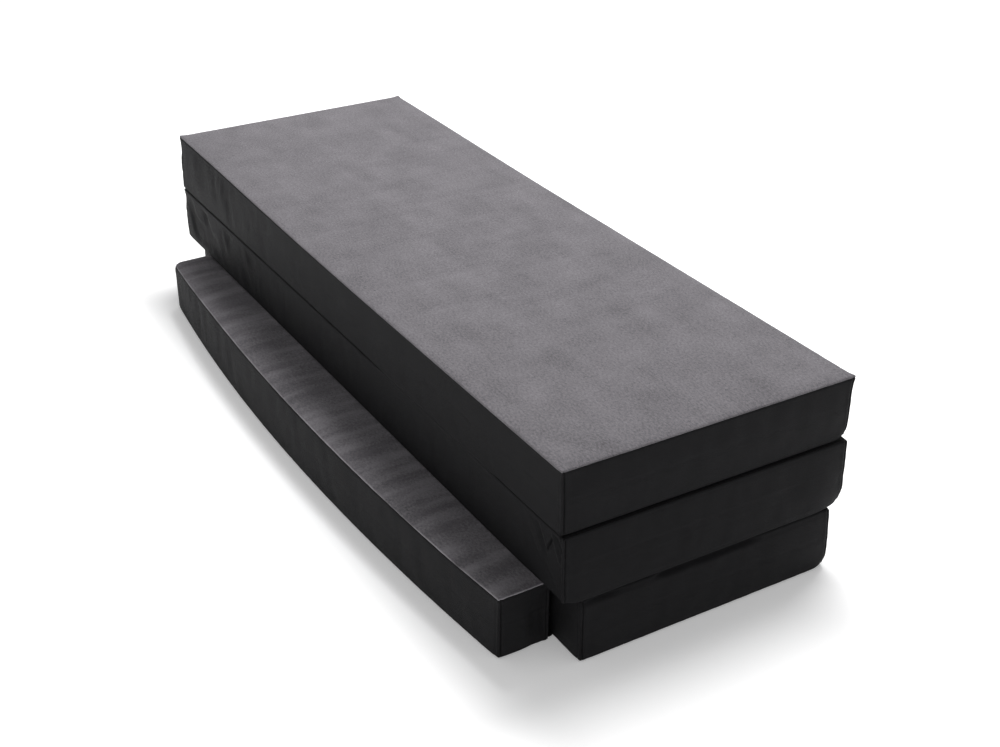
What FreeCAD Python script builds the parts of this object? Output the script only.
import FreeCAD, Part
import os
import Sketcher

# Four-section folding futon mattress, stored folded: three full sections stacked on the floor
# and a narrow bow-fronted flap lying in front of them.
# +X runs along the sections' length, -Y is the front, where the flap lies, and +Z is up.
# The origin is under the middle of the whole folded mattress, on the floor.

doc = FreeCAD.newDocument("folding_futon_mattress")

# Driving dimensions, in millimetres.
SIZES = {
    "section_length": (1800, "length of the top, middle and bottom sections"),
    "section_depth": (625, "depth of the top and middle sections"),
    "base_depth": (560, "depth of the bottom section"),
    "thickness": (130, "height of every section, over its cover"),
    "grey_cloth": (3, "brushed microfibre face with its wadding"),
    "black_cloth": (2.5, "woven cover cloth with its backing"),
    "fold_gap": (3, "space between two stacked sections"),
    "middle_shift": (5, "how far the middle section stands to the right of the top one"),
    "base_shift": (18, "how far the bottom section stands to the right of the top one"),
    "flap_shift": (33, "how far the flap lies to the right of the top section"),
    "flap_length": (1612, "length of the flap"),
    "flap_end_depth": (106, "depth of the flap at its two ends"),
    "flap_bow": (47, "how much deeper the flap is in the middle"),
    "flap_gap": (12, "space between the flap and the bottom section"),
    "tab_depth": (12, "how far a hinge strip reaches into its crease"),
    "flap_strip": (2, "thickness of the flap's hinge strip on the floor"),
    "tape_width": (9, "visible width of one zip tape"),
    "tape_cloth": (0.8, "thickness of a zip tape"),
    "tape_gap": (2, "slot between the two zip tapes"),
    "coil_width": (2.4, "width of one row of zip coils"),
    "coil_depth": (1.6, "height of the zip coils over their tapes"),
    "coil_spread": (0.8, "how far each open row of coils stands from the middle"),
    "slider_inset": (30, "from the end of the zipped face to the middle of the slider"),
    "slider_length": (12, "length of the zip slider"),
    "slider_play": (0.4, "running clearance of the slider round the zip"),
    "foam_play": (0.3, "space between the slider and the foam behind it"),
    "slider_plate": (1, "thickness of the slider's plates and side walls"),
    "slider_neck": (0.8, "width of the wedge between the slider's plates"),
    "neck_length": (3, "length of that wedge"),
    "lug_length": (3.2, "length of the slider's two lugs"),
    "lug_width": (1, "width of each lug"),
    "pin_radius": (0.7, "radius of the pin between the lugs"),
    "pin_play": (0.3, "clearance round the pin and beside the pull"),
    "barrel_radius": (1.5, "outer radius of the pull's eye"),
    "barrel_width": (3, "width of the pull's eye"),
    "pull_plate": (1, "thickness of the pull"),
    "pull_reach": (24, "from the pin to the far end of the pull"),
    "pull_width": (7, "width of the pull's grip"),
    "grip_start": (4, "from the pin to the near end of the grip"),
    "grip_hole": (1.8, "radius of the hole in the grip"),
}

sheet = doc.addObject("Spreadsheet::Sheet", "Sizes")
for row, (alias, (value, meaning)) in enumerate(SIZES.items(), start=1):
    sheet.set(f"A{row}", meaning)
    sheet.set(f"B{row}", str(value))
    sheet.setAlias(f"B{row}", alias)
doc.recompute()

# Lengths worked out from the sheet, as expressions.
LENGTH = "Sizes.section_length"
THICK = "Sizes.thickness"
BLACK = "Sizes.black_cloth"
GREY = "Sizes.grey_cloth"
STEP_UP = f"({THICK} + Sizes.fold_gap)"
BAND_HEIGHT = f"({THICK} - {BLACK} - {GREY})"
SLOT = "(2 * Sizes.tape_width + Sizes.tape_gap)"
PLATE_FLOOR = "(Sizes.coil_depth + Sizes.slider_play)"
PLATE_TOP = f"({PLATE_FLOOR} + Sizes.slider_plate)"
PIN_HEIGHT = f"({PLATE_TOP} + Sizes.pin_play + Sizes.barrel_radius)"
ZIP_PROUD = f"({PIN_HEIGHT} + Sizes.lug_length / 2)"
# The band that holds a zip is at least as thick as the slider reaches behind the tapes.
ZIP_DEPTH = "(Sizes.tape_cloth + Sizes.slider_play + Sizes.slider_plate + Sizes.foam_play)"
ZIP_SIDE = f"max({BLACK}; {ZIP_DEPTH})"
OUTER_BACK = "(max(Sizes.section_depth; Sizes.base_depth) / 2)"
FLAP_BACK = "(-Sizes.base_depth / 2 - Sizes.flap_gap)"
FLAP_DEPTH = "(Sizes.flap_end_depth + Sizes.flap_bow)"
BOW_RADIUS = "((Sizes.flap_length ^ 2 / 4 + Sizes.flap_bow ^ 2) / (2 * Sizes.flap_bow))"
BOW_CENTRE = f"({BOW_RADIUS} - {FLAP_DEPTH})"

# The middle of the folded mattress in the layout where the top section is centred.
MIDDLE_X = f"((Sizes.base_shift - {ZIP_PROUD}) / 2)"
MIDDLE_Y = f"(({OUTER_BACK} + {FLAP_BACK} - {FLAP_DEPTH}) / 2)"
MIDDLE = (MIDDLE_X, MIDDLE_Y, "0")

nodes = []


def keep(piece, label):
    """Names a finished sub-part and puts it on the list of nodes."""
    piece.Label = label
    nodes.append(piece)
    return piece


def place(piece, point):
    """Binds a piece's position to a point of the layout, given as three expressions."""
    for axis, coordinate, middle in zip("xyz", point, MIDDLE):
        piece.setExpression(f"Placement.Base.{axis}", f"{coordinate} - {middle}")


def box(name, size, corner):
    """A plain box whose size and lowest corner, in its own frame, are expressions."""
    piece = doc.addObject("Part::Box", name)
    for side, length in zip(("Length", "Width", "Height"), size):
        piece.setExpression(side, length)
    for axis, coordinate in zip("xyz", corner):
        piece.setExpression(f"Placement.Base.{axis}", coordinate)
    return piece


def slab(label, size, corner):
    """A box-shaped sub-part: its corner is a point of the layout."""
    piece = doc.addObject("Part::Box", label)
    for side, length in zip(("Length", "Width", "Height"), size):
        piece.setExpression(side, length)
    place(piece, corner)
    return keep(piece, label)


def section(name, shift, depth, floor, grey_up):
    """Foam core and cover of one full section, with a zip across its left end."""
    left = f"{shift} - {LENGTH} / 2"
    right = f"{shift} + {LENGTH} / 2"
    front = f"-{depth} / 2"
    back = f"{depth} / 2"
    lower = BLACK if grey_up else GREY
    upper = GREY if grey_up else BLACK
    band_floor = f"{floor} + {lower}"
    lower_face, upper_face = ("black", "grey") if grey_up else ("grey", "black")

    slab(f"{name}_foam_core",
         (f"{LENGTH} - {BLACK} - {ZIP_SIDE}", f"{depth} - 2 * {BLACK}", BAND_HEIGHT),
         (f"{left} + {ZIP_SIDE}", f"{front} + {BLACK}", band_floor))
    slab(f"{name}_{lower_face}_panel", (LENGTH, depth, lower), (left, front, floor))
    slab(f"{name}_{upper_face}_panel", (LENGTH, depth, upper),
         (left, front, f"{floor} + {THICK} - {upper}"))
    slab(f"{name}_front_band", (LENGTH, BLACK, BAND_HEIGHT), (left, front, band_floor))
    slab(f"{name}_back_band", (LENGTH, BLACK, BAND_HEIGHT),
         (left, f"{back} - {BLACK}", band_floor))
    inner_depth = f"{depth} - 2 * {BLACK}"
    inner_front = f"{front} + {BLACK}"
    slab(f"{name}_right_end_band", (BLACK, inner_depth, BAND_HEIGHT),
         (f"{right} - {BLACK}", inner_front, band_floor))
    slab(f"{name}_left_end_band_lower",
         (ZIP_SIDE, inner_depth, f"{THICK} / 2 - {SLOT} / 2 - {lower}"),
         (left, inner_front, band_floor))
    slab(f"{name}_left_end_band_upper",
         (ZIP_SIDE, inner_depth, f"{THICK} / 2 - {SLOT} / 2 - {upper}"),
         (left, inner_front, f"{floor} + {THICK} / 2 + {SLOT} / 2"))


def number(expression):
    """The length that an expression on the sheet gives now."""
    result = sheet.evalExpression(expression)
    return float(getattr(result, "Value", result))


def outline(body, rows, joins, rules):
    """Sketches one closed outline in plan, in the frame of its body.

    rows are the edges in order, joins says which end of each edge meets the next one,
    and rules are (kind, places, expression) constraints bound to the sheet.
    """
    sketch = body.newObject("Sketcher::SketchObject", f"{body.Name}_outline")
    plane = next(f for f in body.Origin.OriginFeatures if f.Role == "XY_Plane")
    sketch.AttachmentSupport = [(plane, "")]
    sketch.MapMode = "FlatFace"
    for edge in rows:
        sketch.addGeometry(edge)
    for join in joins:
        sketch.addConstraint(Sketcher.Constraint("Coincident", *join))
    for kind, places, expression in rules:
        if expression is None:
            sketch.addConstraint(Sketcher.Constraint(kind, *places))
            continue
        index = sketch.addConstraint(Sketcher.Constraint(kind, *places, number(expression)))
        sketch.setExpression(f"Constraints[{index}]", expression)
    return sketch


def bow_arc(half, radius, centre):
    """The flap's bowed front as an arc from its left end to its right end."""
    circle = Part.Circle(FreeCAD.Vector(0, centre, 0), FreeCAD.Vector(0, 0, 1), radius)
    corner = centre - (radius ** 2 - half ** 2) ** 0.5
    left = circle.parameter(FreeCAD.Vector(-half, corner, 0))
    right = circle.parameter(FreeCAD.Vector(half, corner, 0))
    return Part.ArcOfCircle(circle, left, right), corner


def flap_body(label, sketch, body, floor, height):
    """Pads a flap outline upwards and lays it at the flap's place."""
    pad = body.newObject("PartDesign::Pad", f"{label}_pad")
    pad.Profile = sketch
    pad.setExpression("Length", height)
    place(body, ("Sizes.flap_shift", FLAP_BACK, floor))
    return keep(body, label)


def flap_plate(label, inset, back_inset, floor, height):
    """A bow-fronted plate or block with the flap's outline, drawn in by the two insets."""
    body = doc.addObject("PartDesign::Body", label)
    half = f"Sizes.flap_length / 2 - {inset}"
    radius = f"{BOW_RADIUS} - {inset}"
    arc, corner = bow_arc(number(half), number(radius), number(BOW_CENTRE))
    left, right, back = -number(half), number(half), -number(back_inset)
    point = FreeCAD.Vector
    edges = [
        Part.LineSegment(point(right, back, 0), point(left, back, 0)),
        Part.LineSegment(point(left, back, 0), point(left, corner, 0)),
        arc,
        Part.LineSegment(point(right, corner, 0), point(right, back, 0)),
    ]
    joins = [(0, 2, 1, 1), (1, 2, 2, 1), (2, 2, 3, 1), (3, 2, 0, 1)]
    rules = [
        ("Horizontal", (0,), None),
        ("Vertical", (1,), None),
        ("Vertical", (3,), None),
        ("PointOnObject", (2, 3, -2), None),
        ("DistanceX", (-1, 1, 0, 1), half),
        ("DistanceX", (0, 2, -1, 1), half),
        ("DistanceY", (-1, 1, 2, 3), BOW_CENTRE),
        ("Radius", (2,), radius),
    ]
    if number(back_inset) > 0:
        rules.append(("DistanceY", (0, 1, -1, 1), back_inset))
    else:
        rules.append(("PointOnObject", (0, 1, -1), None))
    return flap_body(label, outline(body, edges, joins, rules), body, floor, height)


def flap_front_band(label, floor, height):
    """The curved band along the flap's bowed front, one cloth thick."""
    body = doc.addObject("PartDesign::Body", label)
    half = "Sizes.flap_length / 2"
    inner_radius = f"{BOW_RADIUS} - {BLACK}"
    outer, outer_corner = bow_arc(number(half), number(BOW_RADIUS), number(BOW_CENTRE))
    inner, inner_corner = bow_arc(number(half), number(inner_radius), number(BOW_CENTRE))
    left, right = -number(half), number(half)
    point = FreeCAD.Vector
    edges = [
        outer,
        Part.LineSegment(point(right, outer_corner, 0), point(right, inner_corner, 0)),
        inner,
        Part.LineSegment(point(left, inner_corner, 0), point(left, outer_corner, 0)),
    ]
    joins = [(0, 2, 1, 1), (1, 2, 2, 2), (2, 1, 3, 1), (3, 2, 0, 1)]
    rules = [
        ("Vertical", (1,), None),
        ("Vertical", (3,), None),
        ("PointOnObject", (0, 3, -2), None),
        ("PointOnObject", (2, 3, -2), None),
        ("DistanceX", (-1, 1, 0, 2), half),
        ("DistanceX", (0, 1, -1, 1), half),
        ("DistanceY", (-1, 1, 0, 3), BOW_CENTRE),
        ("DistanceY", (-1, 1, 2, 3), BOW_CENTRE),
        ("Radius", (0,), BOW_RADIUS),
        ("Radius", (2,), inner_radius),
    ]
    return flap_body(label, outline(body, edges, joins, rules), body, floor, height)


def flap():
    """Foam core and cover of the bow-fronted flap, with a zip along its hidden back."""
    left = "Sizes.flap_shift - Sizes.flap_length / 2"
    right = "Sizes.flap_shift + Sizes.flap_length / 2"
    flap_plate("flap_foam_core", BLACK, ZIP_SIDE, BLACK, BAND_HEIGHT)
    flap_plate("flap_black_panel", "0", "0", "0", BLACK)
    flap_plate("flap_grey_panel", "0", "0", f"{THICK} - {GREY}", GREY)
    flap_front_band("flap_front_band", BLACK, BAND_HEIGHT)
    slab("flap_back_band_lower",
         ("Sizes.flap_length", ZIP_SIDE, f"{THICK} / 2 - {SLOT} / 2 - {BLACK}"),
         (left, f"{FLAP_BACK} - {ZIP_SIDE}", BLACK))
    slab("flap_back_band_upper",
         ("Sizes.flap_length", ZIP_SIDE, f"{THICK} / 2 - {SLOT} / 2 - {GREY}"),
         (left, f"{FLAP_BACK} - {ZIP_SIDE}", f"{THICK} / 2 + {SLOT} / 2"))
    end_front = (f"({FLAP_BACK} + {BOW_CENTRE}"
                 f" - sqrt(({BOW_RADIUS} - {BLACK}) ^ 2 - Sizes.flap_length ^ 2 / 4))")
    end_depth = f"{FLAP_BACK} - {ZIP_SIDE} - {end_front}"
    slab("flap_left_end_band", (BLACK, end_depth, BAND_HEIGHT), (left, end_front, BLACK))
    slab("flap_right_end_band", (BLACK, end_depth, BAND_HEIGHT),
         (f"{right} - {BLACK}", end_front, BLACK))


def hinge_strips():
    """The three cloth strips that join neighbouring sections along their folds."""
    slab("top_hinge_strip", (LENGTH, "Sizes.tab_depth", "Sizes.fold_gap"),
         (f"-{LENGTH} / 2", "-Sizes.section_depth / 2", f"2 * {STEP_UP} - Sizes.fold_gap"))
    inner_back = "(min(Sizes.section_depth; Sizes.base_depth) / 2)"
    slab("middle_hinge_strip",
         (LENGTH, f"{OUTER_BACK} - {inner_back} + Sizes.tab_depth", "Sizes.fold_gap"),
         (f"Sizes.middle_shift - {LENGTH} / 2", f"{inner_back} - Sizes.tab_depth", THICK))
    slab("flap_hinge_strip", ("Sizes.flap_length", "Sizes.flap_gap", "Sizes.flap_strip"),
         ("Sizes.flap_shift - Sizes.flap_length / 2", FLAP_BACK, "0"))


def turned(piece, along, out):
    """Turns a zip part from its own frame, whose X runs along the zip and whose Z points out."""
    across = out.cross(along)
    piece.Placement = FreeCAD.Placement(
        FreeCAD.Vector(), FreeCAD.Rotation(along, across, out, "XZY"))


def group(kind, label, pieces, along, out, point):
    """Joins pieces drawn in the zip's frame into one node at a point of the layout."""
    whole = doc.addObject(kind, label)
    if kind == "Part::Compound":
        whole.Links = pieces
    else:
        whole.Shapes = pieces
    turned(whole, along, out)
    place(whole, point)
    return keep(whole, label)


def zip_row(name, length, along, out, point_at):
    """A zip closed over the whole face: tapes, coils, slider and pull.

    In the zip's own frame X runs along it, Y across it and Z out of the face, with the origin
    in the middle of the face. point_at gives the layout point at a distance along the zip.
    """
    inner = f"({length} - 2 * {BLACK})"
    slider_at = f"({length} / 2 - Sizes.slider_inset)"
    gap = "Sizes.tape_gap"

    def both(label, size, corner, mirrored):
        return [box(f"{name}_{label}_{n}", size, place_of)
                for n, place_of in enumerate((corner, mirrored), start=1)]

    tape = (inner, "Sizes.tape_width", "Sizes.tape_cloth")
    tapes = both("tape", tape,
                 (f"-{inner} / 2", f"{gap} / 2", "-Sizes.tape_cloth"),
                 (f"-{inner} / 2", f"-{gap} / 2 - Sizes.tape_width", "-Sizes.tape_cloth"))
    group("Part::Compound", f"{name}_zip_tapes", tapes, along, out, point_at("0"))

    neck_end = "(Sizes.neck_length / 2 + Sizes.slider_play)"
    closed = box(f"{name}_closed_coils",
                 (f"{slider_at} - {neck_end} + {inner} / 2", "2 * Sizes.coil_width",
                  "Sizes.coil_depth"),
                 (f"-{inner} / 2", "-Sizes.coil_width", "0"))
    row = (f"{inner} / 2 - {slider_at} - {neck_end}", "Sizes.coil_width", "Sizes.coil_depth")
    row_start = f"{slider_at} + {neck_end}"
    rows = both("open_coils", row,
                (row_start, "Sizes.coil_spread", "0"),
                (row_start, "-Sizes.coil_spread - Sizes.coil_width", "0"))
    group("Part::Compound", f"{name}_zip_coils", [closed, *rows], along, out, point_at("0"))

    slider(name, along, out, point_at(slider_at))
    pull(name, along, out, point_at(slider_at))


def slider(name, along, out, point):
    """Zip slider: two plates joined by a wedge between the tapes, side walls, lugs and pin."""
    play = "Sizes.slider_play"
    plate = "Sizes.slider_plate"
    wall_in = f"(Sizes.coil_spread + Sizes.coil_width + {play})"
    width = f"(2 * {wall_in} + 2 * {plate})"
    under = f"(Sizes.tape_cloth + {play})"
    lug_in = "(Sizes.barrel_width / 2 + Sizes.pin_play)"
    lug_out = f"({lug_in} + Sizes.lug_width)"
    lug_size = ("Sizes.lug_length", "Sizes.lug_width", f"{ZIP_PROUD} - {PLATE_TOP}")
    wall = ("Sizes.slider_length", plate, f"{PLATE_TOP} - {play}")
    start = "-Sizes.slider_length / 2"
    lug_start = "-Sizes.lug_length / 2"
    pieces = [
        box(f"{name}_slider_plate", ("Sizes.slider_length", width, plate),
            (start, f"-{width} / 2", PLATE_FLOOR)),
        box(f"{name}_slider_under", ("Sizes.slider_length", width, plate),
            (start, f"-{width} / 2", f"-{under} - {plate}")),
        box(f"{name}_slider_neck",
            ("Sizes.neck_length", "Sizes.slider_neck", f"{PLATE_TOP} + {under} + {plate}"),
            ("-Sizes.neck_length / 2", "-Sizes.slider_neck / 2", f"-{under} - {plate}")),
        box(f"{name}_slider_wall_1", wall, (start, wall_in, play)),
        box(f"{name}_slider_wall_2", wall, (start, f"-{wall_in} - {plate}", play)),
        box(f"{name}_slider_lug_1", lug_size, (lug_start, lug_in, PLATE_TOP)),
        box(f"{name}_slider_lug_2", lug_size, (lug_start, f"-{lug_out}", PLATE_TOP)),
        rod(f"{name}_slider_pin", "Sizes.pin_radius", f"2 * {lug_out}", f"-{lug_out}"),
    ]
    group("Part::MultiFuse", f"{name}_zip_slider", pieces, along, out, point)


def rod(name, radius, length, start):
    """A cylinder across the zip, on the pin's axis."""
    piece = doc.addObject("Part::Cylinder", name)
    piece.Placement = FreeCAD.Placement(
        FreeCAD.Vector(), FreeCAD.Rotation(FreeCAD.Vector(1, 0, 0), -90))
    piece.setExpression("Radius", radius)
    piece.setExpression("Height", length)
    piece.setExpression("Placement.Base.y", start)
    piece.setExpression("Placement.Base.z", PIN_HEIGHT)
    return piece


def upright(name, radius, reach):
    """A cylinder through the pull's plate, out of the face, at a distance from the pin."""
    piece = doc.addObject("Part::Cylinder", name)
    piece.setExpression("Radius", radius)
    piece.setExpression("Height", "Sizes.pull_plate")
    piece.setExpression("Placement.Base.x", f"-{reach}")
    piece.setExpression("Placement.Base.z", f"{PIN_HEIGHT} - Sizes.pull_plate / 2")
    return piece


def pull(name, along, out, point):
    """Zip pull: an eye on the slider's pin, a narrow stem and a grip with a hole."""
    low = f"{PIN_HEIGHT} - Sizes.pull_plate / 2"
    grip_end = "(Sizes.pull_reach - Sizes.pull_width / 2)"
    solid = doc.addObject("Part::MultiFuse", f"{name}_pull_solid")
    solid.Shapes = [
        rod(f"{name}_pull_eye", "Sizes.barrel_radius", "Sizes.barrel_width",
            "-Sizes.barrel_width / 2"),
        box(f"{name}_pull_stem", ("Sizes.grip_start", "Sizes.barrel_width", "Sizes.pull_plate"),
            ("-Sizes.grip_start", "-Sizes.barrel_width / 2", low)),
        box(f"{name}_pull_grip",
            (f"{grip_end} - Sizes.grip_start", "Sizes.pull_width", "Sizes.pull_plate"),
            (f"-{grip_end}", "-Sizes.pull_width / 2", low)),
        upright(f"{name}_pull_tip", "Sizes.pull_width / 2", grip_end),
    ]
    holes = doc.addObject("Part::MultiFuse", f"{name}_pull_holes")
    holes.Shapes = [
        rod(f"{name}_pull_bore", "(Sizes.pin_radius + Sizes.pin_play)", "Sizes.barrel_width",
            "-Sizes.barrel_width / 2"),
        upright(f"{name}_pull_finger_hole", "Sizes.grip_hole", grip_end),
    ]
    whole = doc.addObject("Part::Cut", f"{name}_zip_pull")
    whole.Base = solid
    whole.Tool = holes
    turned(whole, along, out)
    place(whole, point)
    keep(whole, f"{name}_zip_pull")


def end_zip(name, shift, depth, floor):
    """The zip across a section's left end, closed towards the front."""
    face = f"{shift} - {LENGTH} / 2"
    zip_row(name, depth, FreeCAD.Vector(0, -1, 0), FreeCAD.Vector(-1, 0, 0),
            lambda distance: (face, f"-{distance}", f"{floor} + {THICK} / 2"))


def flap_zip():
    """The zip along the flap's back, closed towards the left end."""
    zip_row("flap", "Sizes.flap_length", FreeCAD.Vector(-1, 0, 0), FreeCAD.Vector(0, 1, 0),
            lambda distance: (f"Sizes.flap_shift - {distance}", FLAP_BACK, f"{THICK} / 2"))


SECTIONS = (
    ("top", "0", "Sizes.section_depth", f"2 * {STEP_UP}", True),
    ("middle", "Sizes.middle_shift", "Sizes.section_depth", STEP_UP, False),
    ("bottom", "Sizes.base_shift", "Sizes.base_depth", "0", True),
)
for section_name, shift, depth, floor, grey_up in SECTIONS:
    section(section_name, shift, depth, floor, grey_up)
    end_zip(section_name, shift, depth, floor)
flap()
flap_zip()
hinge_strips()
doc.recompute()

for item in doc.Objects:
    if "Invalid" in item.State or "Error" in item.State:
        raise RuntimeError(f"{item.Label} did not build: {item.State}")
for node in nodes:
    if node.Shape.isNull() or not node.Shape.isValid() or node.Shape.Volume <= 0:
        raise RuntimeError(f"{node.Label} has no valid solid")

os.makedirs("parts", exist_ok=True)
for node in nodes:
    node.Shape.exportStep(f"parts/{node.Label}.step")
print(len(nodes), "nodes written")
